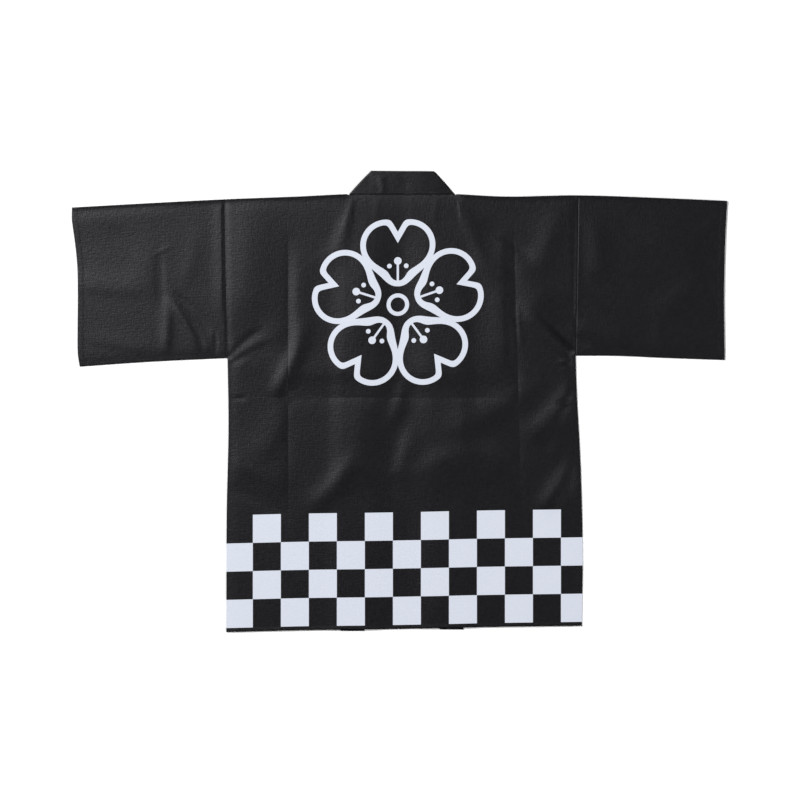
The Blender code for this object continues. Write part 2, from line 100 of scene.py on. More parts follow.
# The collar's seam, which the fronts' inner edges follow
COLLAR_WIDTH = 0.0420
COLLAR_WALL = 2 * LAYER + GAP
COLLAR_BEND = 0.0013
NECK_LINE = 0.3697
NECK_CORNERS = (-0.0874, 0.0945)
BAND_SPREAD = (-0.0145, 0.0165)
BAND_HEMS = (-0.4098, -0.4072)
BEND_SHIFT = COLLAR_BEND * np.pi / np.sqrt(2)  # how far the fold under moves a band outwards
FRONT_NOTCH = 0.0036  # clear of the collar's fold at the neck corner
FRONT_ROWS = 120
FRONT_COLUMNS = 56

# A fold runs from (x0, y0) to (x1, y1), bulging sideways by bow at its middle. height is its crest, or
# its bottom where below zero. left and right are how far its two flanks reach at the start, seen
# along its run, and spread is how much further at the end. fade is the share of the run over which it
# comes up at the start.
Fold = namedtuple("Fold", "x0 y0 x1 y1 bow height left right spread fade")
FRONT_FOLDS = (
    Fold(-0.296, 0.05, -0.22, 0.15, 0.008, 0.0006, 0.008, 0.012, 1.8, 0.4),
    Fold(-0.29, -0.06, -0.15, -0.17, 0.012, 0.0005, 0.022, 0.03, 1.2, 0.4),
    Fold(-0.13, 0.34, -0.17, 0.21, 0.01, 0.0006, 0.01, 0.014, 2.2, 0.4),
    Fold(-0.26, -0.23, -0.13, -0.27, 0.006, 0.0004, 0.018, 0.024, 1.2, 0.4),
    Fold(0.3, 0.05, 0.22, 0.14, -0.008, 0.0006, 0.012, 0.009, 1.8, 0.4),
    Fold(0.138, 0.34, 0.18, 0.22, -0.01, 0.0005, 0.01, 0.012, 2.2, 0.4),
    Fold(0.29, -0.03, 0.16, -0.15, 0.01, 0.0005, 0.026, 0.022, 1.3, 0.4),
    Fold(0.15, -0.25, 0.29, -0.2, 0.008, 0.0004, 0.02, 0.024, 1.2, 0.4),
)
FRONT_CREASES = (
    Fold(-0.1995, 0.3, -0.1995, -0.38, 0.0, 0.0004, 0.012, 0.012, 1.0, 0.3),
    Fold(0.208, 0.3, 0.22, -0.38, 0.0, 0.0004, 0.012, 0.012, 1.0, 0.3),
)
FADE_IN_FROM = -0.12  # share of the run, before its start, where a fold begins
FADE_OUT = 0.35


def along(places, at):
    """Value of a smooth line through the places (a cubic between each two), at any distances."""
    distance, value = np.array(places, float).T
    slope = np.gradient(value, distance)
    at = np.clip(at, distance[0], distance[-1])
    low = np.clip(np.searchsorted(distance, at) - 1, 0, len(distance) - 2)
    step = distance[low + 1] - distance[low]
    t = (at - distance[low]) / step
    return (
        value[low] * (1 + 2 * t) * (1 - t) ** 2
        + value[low + 1] * t**2 * (3 - 2 * t)
        + step * slope[low] * t * (1 - t) ** 2
        - step * slope[low + 1] * t**2 * (1 - t)
    )


def ease(t):
    """0 to 1 with level ends, for t from 0 to 1: 3 t squared less 2 t cubed."""
    t = np.clip(t, 0, 1)
    return t * t * (3 - 2 * t)


def graded(count, first=1, last=1):
    """count + 1 places from 0 to 1 whose steps change evenly in size from first to last."""
    steps = np.linspace(first, last, count)
    return np.concatenate([[0], np.cumsum(steps)]) / steps.sum()


def divided(keys, steps):
    """Lines through the keys, with each stretch between two keys cut at its own places from 0 to 1."""
    lines = [keys[0]]
    for start, end, places in zip(keys[:-1], keys[1:], steps):
        lines += [start + (end - start) * at for at in places[1:]]
    return np.stack(np.broadcast_arrays(*lines), axis=-1)


def shape_of(fold, x, y, sharp=False):
    """Height that one fold adds: flanks falling off as a bell, or as a tent if sharp, either side of a
    line bowed as a parabola, fading at both ends."""
    run = np.array([fold.x1 - fold.x0, fold.y1 - fold.y0])
    length = np.hypot(*run)
    run = run / length
    t = ((x - fold.x0) * run[0] + (y - fold.y0) * run[1]) / length
    across = (y - fold.y0) * run[0] - (x - fold.x0) * run[1]
    t_in = np.clip(t, 0, 1)
    across = across - fold.bow * 4 * t_in * (1 - t_in)
    reach = np.where(across > 0, fold.left, fold.right) * (1 + (fold.spread - 1) * t_in)
    beyond = np.maximum(np.abs(t - 0.5) - 0.5, 0) * length
    far = np.hypot(across, beyond) / reach
    flank = np.exp(-far) if sharp else np.exp(-(far**2))
    fade = ease((1 - t) / FADE_OUT) * ease((t - FADE_IN_FROM) / fold.fade)
    return fold.height * flank * fade


def band_edges(y):
    """The outer and inner edges of the two front bands of the collar at height y, left to right."""
    drop = (NECK_LINE - y) / (NECK_LINE - BAND_HEMS[0])
    left = NECK_CORNERS[0] - BEND_SHIFT + BAND_SPREAD[0] * drop
    right = NECK_CORNERS[1] + BEND_SHIFT + BAND_SPREAD[1] * drop
    return left, left + COLLAR_WIDTH, right - COLLAR_WIDTH, right


def quads_of(grid):
    """The four corners of each cell of a grid of values, in turn round the cell."""
    return np.stack((grid[:-1, :-1], grid[:-1, 1:], grid[1:, 1:], grid[1:, :-1]), axis=2)


def cloth_piece(name, points, cut, materials, ring=False, thick=CLOTH):
    """A wall of cloth inside its outer face, a grid of quads through the rows of points.

    cut is each point's place on the flat cloth. Where the rows close on themselves, it has one more
    column than points has.
    """
    rows, columns = points.shape[:2]
    index = np.arange(rows * columns).reshape(rows, columns)
    around = np.hstack([index, index[:, :1]]) if ring else index
    mesh = bpy.data.meshes.new(name)
    mesh.from_pydata(points.reshape(-1, 3).tolist(), [], quads_of(around).reshape(-1, 4).tolist())
    mesh.shade_smooth()
    uv = mesh.uv_layers.new(name="cut")
    uv.uv.foreach_set("vector", quads_of(cut).astype(np.float32).ravel())
    for material in materials:
        mesh.materials.append(material)
    piece = bpy.data.objects.new(name, mesh)
    bpy.context.scene.collection.objects.link(piece)
    if thick:
        wall = piece.modifiers.new("Wall", "SOLIDIFY")
        wall.thickness = thick
        wall.offset = -1
        wall.use_even_offset = True
        wall.material_offset = len(materials) - 1
        wall.material_offset_rim = 0
    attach(piece, "root")
    return piece


class Recipe:
    """Adds nodes to a material: each call makes one node and returns its output."""

    def __init__(self, name):
        self.material = bpy.data.materials.new(name)
        self.material.use_nodes = True
        self.tree = self.material.node_tree
        self.shader = self.tree.nodes["Principled BSDF"]

    def node(self, kind, inputs=(), **settings):
        made = self.tree.nodes.new(kind)
        for key, value in settings.items():
            setattr(made, key, value)
        pairs = inputs.items() if isinstance(inputs, dict) else enumerate(inputs)
        for key, value in pairs:
            self.feed(made.inputs[key], value)
        return made

    def feed(self, socket, value):
        if isinstance(value, bpy.types.NodeSocket):
            self.tree.links.new(value, socket)
        else:
            socket.default_value = value

    def math(self, operation, *values):
        return self.node("ShaderNodeMath", values, operation=operation).outputs[0]

    def blend(self, share, low, high):
        """Colours low to high as share goes from 0 to 1."""
        made = self.node("ShaderNodeMix", data_type="RGBA")
        self.feed(made.inputs["Factor"], share)
        self.feed(made.inputs["A"], low)
        self.feed(made.inputs["B"], high)
        return made.outputs["Result"]

    def noise(self, u, v, detail=2.0, place=0.0):
        at = self.node("ShaderNodeCombineXYZ", (u, v, place)).outputs[0]
        made = self.node("ShaderNodeTexNoise", {"Vector": at, "Scale": 1.0, "Detail": detail})
        return made.outputs["Fac"]


THREAD = 0.00080  # from one thread to the next, both ways
WEAVE_DEPTH = 0.00005
SLUB_THICK = 340.0  # noise cells a metre across a thread, and along it
SLUB_LONG = 80.0
SLUB_HEIGHT = 8.0  # of the slubs and of the cockled surface, in depths of the weave
COCKLE = 120.0
COCKLE_HEIGHT = 3.2
CLOUD = 26.0  # cells a metre of the uneven dye
BLACK = (0.0012, 0.0012, 0.0017, 1.0)
FADED_BLACK = (0.0033, 0.0032, 0.0041, 1.0)
WHITE_INK = (0.603, 0.638, 0.722, 1.0)
CHECK = 0.0500  # side of a printed square
CHECK_ROW = 0.0503  # from one row of squares to the next
CHECK_FROM = (-0.2624, 0.0070)  # a corner of the bottom row, across and up from the hem
CHECK_ROWS = 4


def printed_checks(recipe, u, v):
    """1 on the white squares: their column and row, counted from a corner, sum to an odd number."""
    math = recipe.math
    column = math("FLOOR", math("DIVIDE", math("SUBTRACT", u, CHECK_FROM[0]), CHECK))
    up = math("DIVIDE", math("SUBTRACT", v, CHECK_FROM[1]), CHECK_ROW)
    row = math("FLOOR", up)
    odd = math("FLOORED_MODULO", math("ADD", column, row), 2.0)
    inside = math("MULTIPLY", math("GREATER_THAN", up, 0.0), math("LESS_THAN", up, CHECK_ROWS))
    return math("MULTIPLY", math("GREATER_THAN", odd, 0.5), inside)


def cloth_material(name, prints=()):
    """Close plain weave: threads as rows of small bolsters, over and under by turns, with slubs along
    them, dyed black with a little unevenness. Each of prints gives the share of white ink."""
    recipe = Recipe(name)
    uv = recipe.node("ShaderNodeUVMap", uv_map="cut").outputs[0]
    u, v, _ = recipe.node("ShaderNodeSeparateXYZ", (uv,)).outputs

    across, up = (
        recipe.math("SINE", recipe.math("MULTIPLY", axis, np.pi / THREAD)) for axis in (u, v)
    )
    over = recipe.math("GREATER_THAN", recipe.math("MULTIPLY", across, up), 0.0)
    bolsters = []
    for one, other in ((across, up), (up, across)):
        crown = recipe.math("MULTIPLY_ADD", recipe.math("ABSOLUTE", other), 0.45, 0.55)
        bolsters.append(recipe.math("MULTIPLY", recipe.math("ABSOLUTE", one), crown))
    step = recipe.math("SUBTRACT", bolsters[0], bolsters[1])
    weave = recipe.math("MULTIPLY_ADD", step, over, bolsters[1])

    # Slubs: noise drawn out along the threads, both ways
    slubs = [
        recipe.noise(
            recipe.math("MULTIPLY", u, scale_u), recipe.math("MULTIPLY", v, scale_v), 1.0, place
        )
        for scale_u, scale_v, place in (
            (SLUB_THICK, SLUB_LONG, 0.0),
            (SLUB_LONG, SLUB_THICK, 3.0),
        )
    ]
    slub = recipe.math("MULTIPLY", recipe.math("ADD", *slubs), 0.5)
    clouds = recipe.noise(
        recipe.math("MULTIPLY", u, CLOUD), recipe.math("MULTIPLY", v, CLOUD), 3.0, 7.0
    )
    uneven = recipe.math("MULTIPLY_ADD", slub, 1.6, recipe.math("MULTIPLY_ADD", clouds, 0.9, -0.75))
    colour = recipe.blend(uneven, BLACK, FADED_BLACK)
    rough = recipe.math("MULTIPLY_ADD", slub, 0.16, 0.34)

    for share in [make(recipe, u, v) for make in prints]:
        # The ink thins where the threads dip
        worn = recipe.math("MULTIPLY", share, recipe.math("MULTIPLY_ADD", weave, 0.08, 0.92))
        colour = recipe.blend(worn, colour, WHITE_INK)
        rough = recipe.math("MULTIPLY_ADD", share, 0.08, rough)

    cockle = recipe.noise(
        recipe.math("MULTIPLY", u, COCKLE), recipe.math("MULTIPLY", v, COCKLE), 2.0, 11.0
    )
    height = recipe.math("MULTIPLY_ADD", slub, SLUB_HEIGHT, weave)
    height = recipe.math("MULTIPLY_ADD", cockle, COCKLE_HEIGHT, height)
    bump = recipe.node("ShaderNodeBump", {"Strength": 1.0, "Distance": WEAVE_DEPTH, "Height": height})
    recipe.feed(recipe.shader.inputs["Base Color"], colour)
    recipe.feed(recipe.shader.inputs["Roughness"], rough)
    recipe.feed(recipe.shader.inputs["Normal"], bump.outputs[0])
    recipe.shader.inputs["Specular IOR Level"].default_value = 0.27
    recipe.shader.inputs["Specular Tint"].default_value = (0.97, 0.94, 1.0, 1.0)
    recipe.shader.inputs["Sheen Weight"].default_value = 0.004
    recipe.shader.inputs["Sheen Roughness"].default_value = 0.45
    recipe.shader.inputs["Sheen Tint"].default_value = (0.80, 0.82, 1.0, 1.0)
    return recipe.material


checked_cloth = cloth_material("checked_cloth", [printed_checks])
inside_cloth = cloth_material("cloth_inside")


def make_front(name, node, side):
    """Flat on the surface: across it, from the side seam to the collar; up it, hem to shoulder."""
    inside = LAYER + 2 * GAP
    seam = LEFT_SIDE if side < 0 else RIGHT_SIDE
    armpit = ARMPITS[0 if side < 0 else 1][1]
    place = graded(FRONT_ROWS)
    side_y = seam[0].at + (seam[-1].at - seam[0].at) * place
    turned = ease((armpit + ARMPIT_OPENS - side_y) / ARMPIT_OPENS)
    outer = along(seam, side_y) - side * inside * turned
    bands = band_edges(side_y)
    inner = (bands[0] if side < 0 else bands[3]) + side * GAP
    across = graded(FRONT_COLUMNS)
    x = outer[:, None] + (inner - outer)[:, None] * across
    top = along(SHOULDERS, x[-1]) - inside
    top[-1] = NECK_LINE - FRONT_NOTCH
    hem = along(HEM, x[0])
    y = hem + (top - hem) * place[:, None]
    z = sum(shape_of(fold, x, y) for fold in FRONT_FOLDS)
    z = z + sum(shape_of(crease, x, y, sharp=True) for crease in FRONT_CREASES)
    points = np.stack([x, y, z], axis=-1)
    cut = np.stack([x, y - hem], axis=-1)
    if side < 0:
        points, cut = points[:, ::-1], cut[:, ::-1]
    piece = cloth_piece(name, points, cut, [checked_cloth, inside_cloth])
    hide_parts(node)
    return piece


front_left = make_front("front_left_cloth", "front_left", -1)
front_right = make_front("front_right_cloth", "front_right", 1)


# The collar.
# One long strip of the black cloth, folded double with its raw edges turned in, sewn on from one hem
# round the neck to the other. Laid flat, it folds under at both corners of the neck.

TOP_SPREAD = (-0.0059, 0.0087)  # how far the top's two ends lean outwards, and drop
TOP_DROP = (0.0, 0.0012)
NECK_SAG = 0.0006
TOP_OPENS = 0.0012  # how far the strip's folded edge rises off the surface
NECK_SAG_HALF = 0.044
COLLAR_FOLDS = (
    Fold(-0.0305, 0.373, -0.035, 0.408, -0.001, 0.0007, 0.005, 0.005, 1.4, 0.16),
    Fold(0.003, 0.406, 0.012, 0.374, 0.002, -0.0003, 0.008, 0.008, 1.0, 0.16),
    Fold(-0.054, 0.409, -0.056, 0.38, 0.001, -0.0003, 0.006, 0.006, 1.0, 0.16),
    Fold(0.062, 0.408, 0.07, 0.374, 0.002, 0.0003, 0.008, 0.01, 1.2, 0.16),
)
ON_NECK_FROM = 0.0020  # height over which the strip counts as its upper run, round the neck
ON_NECK_RISE = 0.0008
TURNED_IN = 0.0022  # width over which the strip's two layers close on its seam edge
SEAM_EDGE = 0.00030  # half thickness left there
ENDS_CLOSE = 0.0030
ENDS_THIN = 0.28
BAND_RINGS = 110
FOLD_RINGS = 15
NECK_RINGS = 56
SEAM_PUCKER = 0.0006
SEAM_PUCKER_REACH = 0.0016
SEAM_PUCKERS = (
    Place(-0.0874, 0.8),
    Place(-0.065, 1.0),
    Place(-0.042, 0.4),
    Place(-0.024, 1.0),
    Place(-0.005, 0.0),
    Place(0.016, 0.8),
    Place(0.04, 0.1),
    Place(0.058, 1.0),
    Place(0.078, 0.0),
    Place(0.0945, 0.4),
)
plain_cloth = cloth_material("plain_cloth")


def collar_section():
    """Round the wall of the folded strip: (place across from seam edge to free edge, height off its
    middle). Both layers come together at the seam edge, where they are turned in."""
    half = COLLAR_WALL / 2
    fold_at = COLLAR_WIDTH - half
    across = fold_at * np.concatenate([np.linspace(0, 0.08, 6), np.linspace(0.08, 1, 22)[1:]])
    inwards = np.clip(across / TURNED_IN, 0, 1)
    closing = np.sqrt(inwards * (2 - inwards))
    middle = SEAM_EDGE + (half - CLOTH / 2 - SEAM_EDGE) * closing
    bend = np.linspace(-np.pi / 2, np.pi / 2, 11)[1:-1]
    faces = []
    for offset in (CLOTH / 2, -CLOTH / 2):
        radius = half - CLOTH / 2 + offset
        lower = np.stack([across, -(middle + offset)], axis=1)
        fold = np.stack([fold_at + radius * np.cos(bend), radius * np.sin(bend)], axis=1)
        upper = np.stack([across[::-1], (middle + offset)[::-1]], axis=1)
        faces.append(np.concatenate([lower, fold, upper]))
    return np.concatenate([faces[0], faces[1][::-1]])


def collar_half(corner, side, hem):
    """Places along the unfolded strip, at its seam edge and its free edge, from hem to neck fold."""
    bend_end = np.pi * COLLAR_BEND * np.sqrt(2)
    at_hem = NECK_LINE + BEND_SHIFT - hem
    share = graded(BAND_RINGS, 1, 0.4)[:-1]
    seam_out = at_hem + (bend_end - at_hem) * share
    free_out = at_hem + (bend_end - COLLAR_WIDTH - at_hem) * share
    bend = np.linspace(bend_end, 0, FOLD_RINGS)
    seam_out = np.append(seam_out, bend)
    free_out = np.append(free_out, bend - COLLAR_WIDTH)
    return corner + side * seam_out, corner + side * free_out


def folded_under(x, across, off, corner, side):
    """Where a point of the straight strip goes when its end is folded under at 45 degrees: up to the
    fold it stays, round the fold it turns by its distance past it, then it runs back below."""
    out = side * (x - corner)
    beyond = (out + across) / np.sqrt(2)
    down = (out - across) / np.sqrt(2)
    turn = np.clip(beyond / COLLAR_BEND, 0, np.pi)
    radius = COLLAR_BEND + off
    past = np.maximum(beyond - np.pi * COLLAR_BEND, 0)
    outward = np.minimum(beyond, 0) + radius * np.sin(turn) - past
    return (
        corner + side * (outward + down) / np.sqrt(2),
        NECK_LINE + (outward - down) / np.sqrt(2),
        COLLAR_BEND + COLLAR_WALL / 2 + radius * np.cos(turn),
    )


def make_collar():
    """The strip's section carried from hem to hem, folded under at both neck corners."""
    across, off = collar_section().T
    left_seam, left_free = collar_half(NECK_CORNERS[0], -1, BAND_HEMS[0])
    right_seam, right_free = collar_half(NECK_CORNERS[1], 1, BAND_HEMS[1])
    neck = graded(NECK_RINGS)[1:-1]
    seam = np.concatenate(
        [left_seam, left_seam[-1] + (right_seam[-1] - left_seam[-1]) * neck, right_seam[::-1]]
    )
    free = np.concatenate(
        [left_free, left_free[-1] + (right_free[-1] - left_free[-1]) * neck, right_free[::-1]]
    )
    # The ends are turned in too, so both layers come together there
    from_end = np.minimum(seam - seam[0], seam[-1] - seam)[:, None]
    off = off * (ease(from_end / ENDS_CLOSE) * (1 - ENDS_THIN) + ENDS_THIN)
    strip_x = seam[:, None] + (free - seam)[:, None] * across / COLLAR_WIDTH
    centre = sum(NECK_CORNERS) / 2
    on_left = (seam + free)[:, None] / 2 < centre
    left = folded_under(strip_x, across, off, NECK_CORNERS[0], -1)
    right = folded_under(strip_x, across, off, NECK_CORNERS[1], 1)
    x, y, z = (np.where(on_left, a, b) for a, b in zip(left, right))

    above = np.clip((y - NECK_LINE) / COLLAR_WIDTH, 0, None)
    below = np.clip((NECK_LINE - y) / (NECK_LINE - BAND_HEMS[0]), 0, None)
    lean = np.interp(x, NECK_CORNERS, TOP_SPREAD)
    sag = np.clip(np.abs(x - centre) / NECK_SAG_HALF, 0, 1)
    z = z - NECK_SAG * (1 + np.cos(np.pi * sag)) / 2
    on_neck = ease((z - ON_NECK_FROM) / ON_NECK_RISE) * (above > 0)
    pucker = along(SEAM_PUCKERS, x) * np.exp(-(((y - NECK_LINE) / SEAM_PUCKER_REACH) ** 2))
    z = z + on_neck * TOP_OPENS * np.minimum(above, 1)
    z = z + on_neck * (SEAM_PUCKER * pucker + sum(shape_of(fold, x, y) for fold in COLLAR_FOLDS))
    y = y - np.interp(x, NECK_CORNERS, TOP_DROP) * above
    x = x + lean * above + np.where(on_left, *BAND_SPREAD) * below
    points = np.stack([x, y, z], axis=-1)
    round_it = np.append(0, np.cumsum(np.abs(np.diff(np.append(across, across[0])))))
    cut = np.stack(np.broadcast_arrays(round_it[None, :], seam[:, None]), axis=-1)
    piece = cloth_piece("collar_cloth", points, cut, [plain_cloth], ring=True, thick=0)
    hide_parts("collar")
    return piece


collar = make_collar()


# The back.
# One width of the printed cloth from hem to shoulder, turned over the fronts at the side seams and
# the shoulder folds and cut out round the neck. It carries the creases that it was packed with, drag
# folds from both armpits and small pleats at the ends of the neck.

BELLY = 0.0008  # how far the cloth stands off what lies below, away from its edges
EDGE_FADE = 0.012
SPRING = 0.0019  # how far a shoulder fold springs open, and how far in that reaches
SPRING_REACH = 0.0062
SPRING_CLEAR = (0.004, 0.016)
SEAM_DIP = 0.0009
SEAM_DIP_END = 0.006
SEAM_REACHES = ((0.0026, 0.0070), (0.0042, 0.0012))  # left and right of each armhole seam
BAND_RISE = 0.034  # the drape over a band: where it rises, and where it has come down again
BAND_CLEAR = 0.002
BAND_FALL = 0.056
NECK_HOLDS = 0.75  # share of the drape that the neck seam holds up
NECK_HOLDS_FROM = 0.27
NECK_HOLDS_RISE = 0.08
NECK_HOLDS_REACH = 0.12
NECK_TURN_END = 0.0080
NECK_CLEAR = 0.0049
NECK_NOTCH = 0.0010
SOFT_FLOOR = 0.0002
LEFT_UNDERARM = (
    Place(-0.5725, 0.0621),
    Place(-0.447, 0.0707),
    Place(-0.308, 0.0774),
)
RIGHT_UNDERARM = (
    Place(0.314, 0.0815),
    Place(0.376, 0.0814),
    Place(0.483, 0.0771),
    Place(0.58, 0.0738),
)
FOLDS = (
    # Left armpit: a low swell carries two troughs and two crests that fan up from the corner
    Fold(-0.3113, 0.059, -0.1932, 0.1413, 0.0, 0.0011, 0.02, 0.026, 1.2, 0.4),
    Fold(-0.305, 0.0769, -0.2326, 0.1342, 0.005, -0.0012, 0.006, 0.011, 1.9, 0.16),
    Fold(-0.3041, 0.0716, -0.2361, 0.1217, 0.003, 0.0003, 0.005, 0.006, 1.9, 0.16),
    Fold(-0.3023, 0.0662, -0.2147, 0.1056, 0.003, -0.001, 0.006, 0.013, 2.0, 0.16),
    Fold(-0.3041, 0.059, -0.2648, 0.0716, 0.001, 0.0003, 0.0045, 0.006, 1.5, 0.16),
    # Right armpit: one steep fold runs up to the packing crease, with small wrinkles under it
    Fold(0.3167, 0.0733, 0.2039, 0.1843, 0.004, 0.0028, 0.015, 0.014, 1.5, 0.16),
    Fold(0.322, 0.0912, 0.2397, 0.1807, 0.004, -0.0018, 0.009, 0.016, 1.6, 0.16),
    Fold(0.3167, 0.0662, 0.2791, 0.0733, 0.001, 0.001, 0.0035, 0.004, 1.3, 0.16),
    Fold(0.3184, 0.0555, 0.2862, 0.0572, -0.001, 0.0007, 0.0035, 0.004, 1.2, 0.16),
    # Pleats spreading from the two ends of the neck
    Fold(-0.0877, 0.3632, -0.1395, 0.2272, 0.01, 0.0012, 0.0032, 0.003, 7.6, 0.5),
    Fold(-0.0841, 0.3632, -0.0859, 0.3131, -0.001, 0.0003, 0.0026, 0.0026, 1.4, 0.16),
    Fold(0.1109, 0.3596, 0.1753, 0.195, -0.007, 0.0022, 0.009, 0.008, 3.0, 0.7),
    Fold(0.1056, 0.3542, 0.1109, 0.3167, 0.001, 0.0005, 0.0026, 0.0026, 1.4, 0.16),
    Fold(-0.0644, 0.331, -0.0859, 0.0304, 0.004, 0.0016, 0.03, 0.026, 1.2, 0.5),
    Fold(-0.0394, 0.3667, -0.0411, 0.3131, 0.0, 0.0003, 0.005, 0.005, 1.3, 0.2),
    Fold(0.0197, 0.3632, 0.0233, 0.3023, 0.001, 0.0002, 0.007, 0.005, 1.3, 0.2),
    Fold(0.0662, 0.3632, 0.0608, 0.3131, 0.001, 0.0003, 0.006, 0.005, 1.3, 0.2),
    # Upper back: a broad roll beside each sleeve seam, and a small crease on the right
    Fold(-0.2683, 0.3775, -0.2862, 0.102, 0.006, 0.0025, 0.048, 0.038, 1.0, 0.5),
    Fold(0.1503, 0.3184, 0.2433, 0.2487, 0.003, -0.0012, 0.009, 0.008, 1.4, 0.3),
    Fold(0.1789, 0.2952, 0.297, 0.1199, -0.004, 0.0016, 0.024, 0.02, 1.1, 0.5),
    Fold(0.2827, 0.3489, 0.2361, 0.2129, 0.004, 0.0014, 0.02, 0.02, 1.1, 0.6),
    # Along the packing creases
    Fold(-0.1807, 0.2773, -0.1789, 0.059, -0.003, 0.0015, 0.028, 0.01, 1.1, 0.5),
    Fold(-0.17, 0.1413, -0.2326, -0.0089, 0.007, 0.003, 0.014, 0.015, 1.1, 0.6),
    Fold(0.1771, 0.2952, 0.1914, 0.0161, 0.002, 0.0028, 0.011, 0.03, 1.1, 0.5),
    Fold(0.2075, 0.1807, 0.2183, 0.0912, 0.0, 0.0007, 0.005, 0.005, 1.2, 0.5),
    Fold(-0.2147, 0.0519, 0.2326, 0.0483, 0.003, 0.001, 0.03, 0.018, 1.0, 0.3),
    Fold(0.0143, 0.059, -0.0197, -0.0555, 0.002, 0.0014, 0.012, 0.01, 1.3, 0.6),
    # Broad rolls of the lower back
    Fold(0.322, 0.0411, 0.2218, -0.0805, 0.005, 0.0029, 0.014, 0.018, 1.3, 0.5),
    Fold(-0.0716, 0.0197, -0.0716, -0.1771, -0.003, 0.002, 0.026, 0.038, 1.1, 0.5),
    Fold(0.2576, 0.0376, 0.0429, -0.0698, 0.009, 0.0022, 0.022, 0.026, 1.2, 0.5),
    Fold(-0.1968, -0.0018, -0.2612, -0.1163, 0.005, 0.0011, 0.016, 0.028, 1.1, 0.6),
    Fold(-0.0716, -0.0841, -0.1717, -0.2057, 0.006, 0.0023, 0.018, 0.016, 1.2, 0.6),
    Fold(0.025, -0.0304, -0.0107, -0.1592, 0.004, 0.0024, 0.024, 0.015, 1.2, 0.6),
    Fold(0.3184, -0.0912, 0.2397, -0.2129, 0.005, 0.003, 0.02, 0.017, 1.2, 0.6),
    Fold(-0.0143, -0.1771, 0.2648, -0.1556, 0.07, 0.0024, 0.026, 0.048, 1.0, 0.5),
    Fold(-0.3149, -0.1056, -0.1825, -0.1664, 0.008, 0.0014, 0.044, 0.016, 1.2, 0.5),
    Fold(-0.3113, -0.1521, -0.1861, -0.22, 0.006, -0.0008, 0.014, 0.01, 1.0, 0.3),
    Fold(0.2898, -0.0018, 0.2683, -0.1234, 0.003, 0.001, 0.012, 0.012, 1.2, 0.6),
    Fold(-0.3113, 0.0036, -0.2683, 0.0072, 0.0, -0.0006, 0.004, 0.004, 1.2, 0.16),
    Fold(0.3238, 0.0000, 0.2755, -0.0018, 0.0, -0.001, 0.006, 0.006, 1.2, 0.16),
    # Left sleeve: a roll below the shoulder fold, soft puckers in the middle and more at the foot
    Fold(-0.5904, 0.322, -0.3828, 0.3381, 0.002, 0.0005, 0.022, 0.018, 1.3, 0.3),
    Fold(-0.5904, 0.2648, -0.4472, 0.2594, 0.0, -0.001, 0.034, 0.05, 1.0, 0.3),
    Fold(-0.5868, 0.2111, -0.4329, 0.2004, -0.004, 0.0008, 0.024, 0.013, 1.1, 0.4),
    Fold(-0.526, 0.3131, -0.4759, 0.2558, 0.003, -0.0005, 0.012, 0.012, 1.2, 0.6),
    Fold(-0.4294, 0.2773, -0.4258, 0.1485, 0.001, -0.0009, 0.006, 0.01, 1.2, 0.6),
    Fold(-0.4544, 0.254, -0.3972, 0.2809, 0.001, 0.0003, 0.004, 0.005, 1.2, 0.6),
    Fold(-0.4097, 0.1807, -0.3542, 0.0769, 0.005, 0.0016, 0.007, 0.009, 1.0, 0.4),
    Fold(-0.4007, 0.1932, -0.3274, 0.1127, 0.003, -0.0012, 0.007, 0.008, 1.1, 0.4),
    Fold(-0.4115, 0.1843, -0.4168, 0.0733, -0.001, 0.0015, 0.009, 0.012, 0.9, 0.7),
    Fold(-0.3292, 0.1306, -0.3274, 0.0769, 0.0, -0.0009, 0.0028, 0.0035, 1.0, 0.6),
    Fold(-0.3542, 0.1199, -0.3363, 0.0751, 0.001, 0.0006, 0.005, 0.006, 1.0, 0.7),
    Fold(-0.3202, 0.3596, -0.3188, 0.127, 0.001, 0.0009, 0.0032, 0.012, 1.0, 0.3),
    Fold(-0.3614, 0.3167, -0.39, 0.1914, 0.004, 0.0005, 0.016, 0.014, 1.1, 0.6),
    Fold(-0.5653, 0.1163, -0.4222, 0.0912, -0.003, 0.0005, 0.016, 0.009, 1.1, 0.5),
    # Right sleeve, nearly smooth
    Fold(0.4598, 0.1521, 0.4634, 0.0751, 0.001, 0.0007, 0.007, 0.012, 0.9, 0.7),
    Fold(0.3077, 0.1306, 0.4294, 0.1038, 0.003, 0.0012, 0.018, 0.014, 1.1, 0.3),
    Fold(0.2988, 0.3489, 0.3059, 0.127, 0.002, 0.002, 0.012, 0.08, 1.0, 0.3),
    Fold(0.3453, 0.3381, 0.356, 0.1986, 0.002, 0.0014, 0.018, 0.018, 1.1, 0.6),
    Fold(0.415, 0.3095, 0.551, 0.2415, 0.006, 0.0014, 0.026, 0.024, 1.1, 0.6),
    Fold(0.551, 0.2344, 0.4401, 0.1413, 0.005, 0.0013, 0.022, 0.022, 1.1, 0.6),
)
CREASES = (
    Fold(-0.1995, 0.288, -0.1995, -0.2576, 0.0, -0.001, 0.008, 0.007, 1.0, 0.3),
    Fold(0.2036, 0.2952, 0.219, -0.2576, 0.0, -0.001, 0.008, 0.008, 1.0, 0.3),
    Fold(-0.2326, 0.0068, 0.2505, 0.0061, 0.0, -0.0011, 0.024, 0.01, 1.0, 0.2),
)


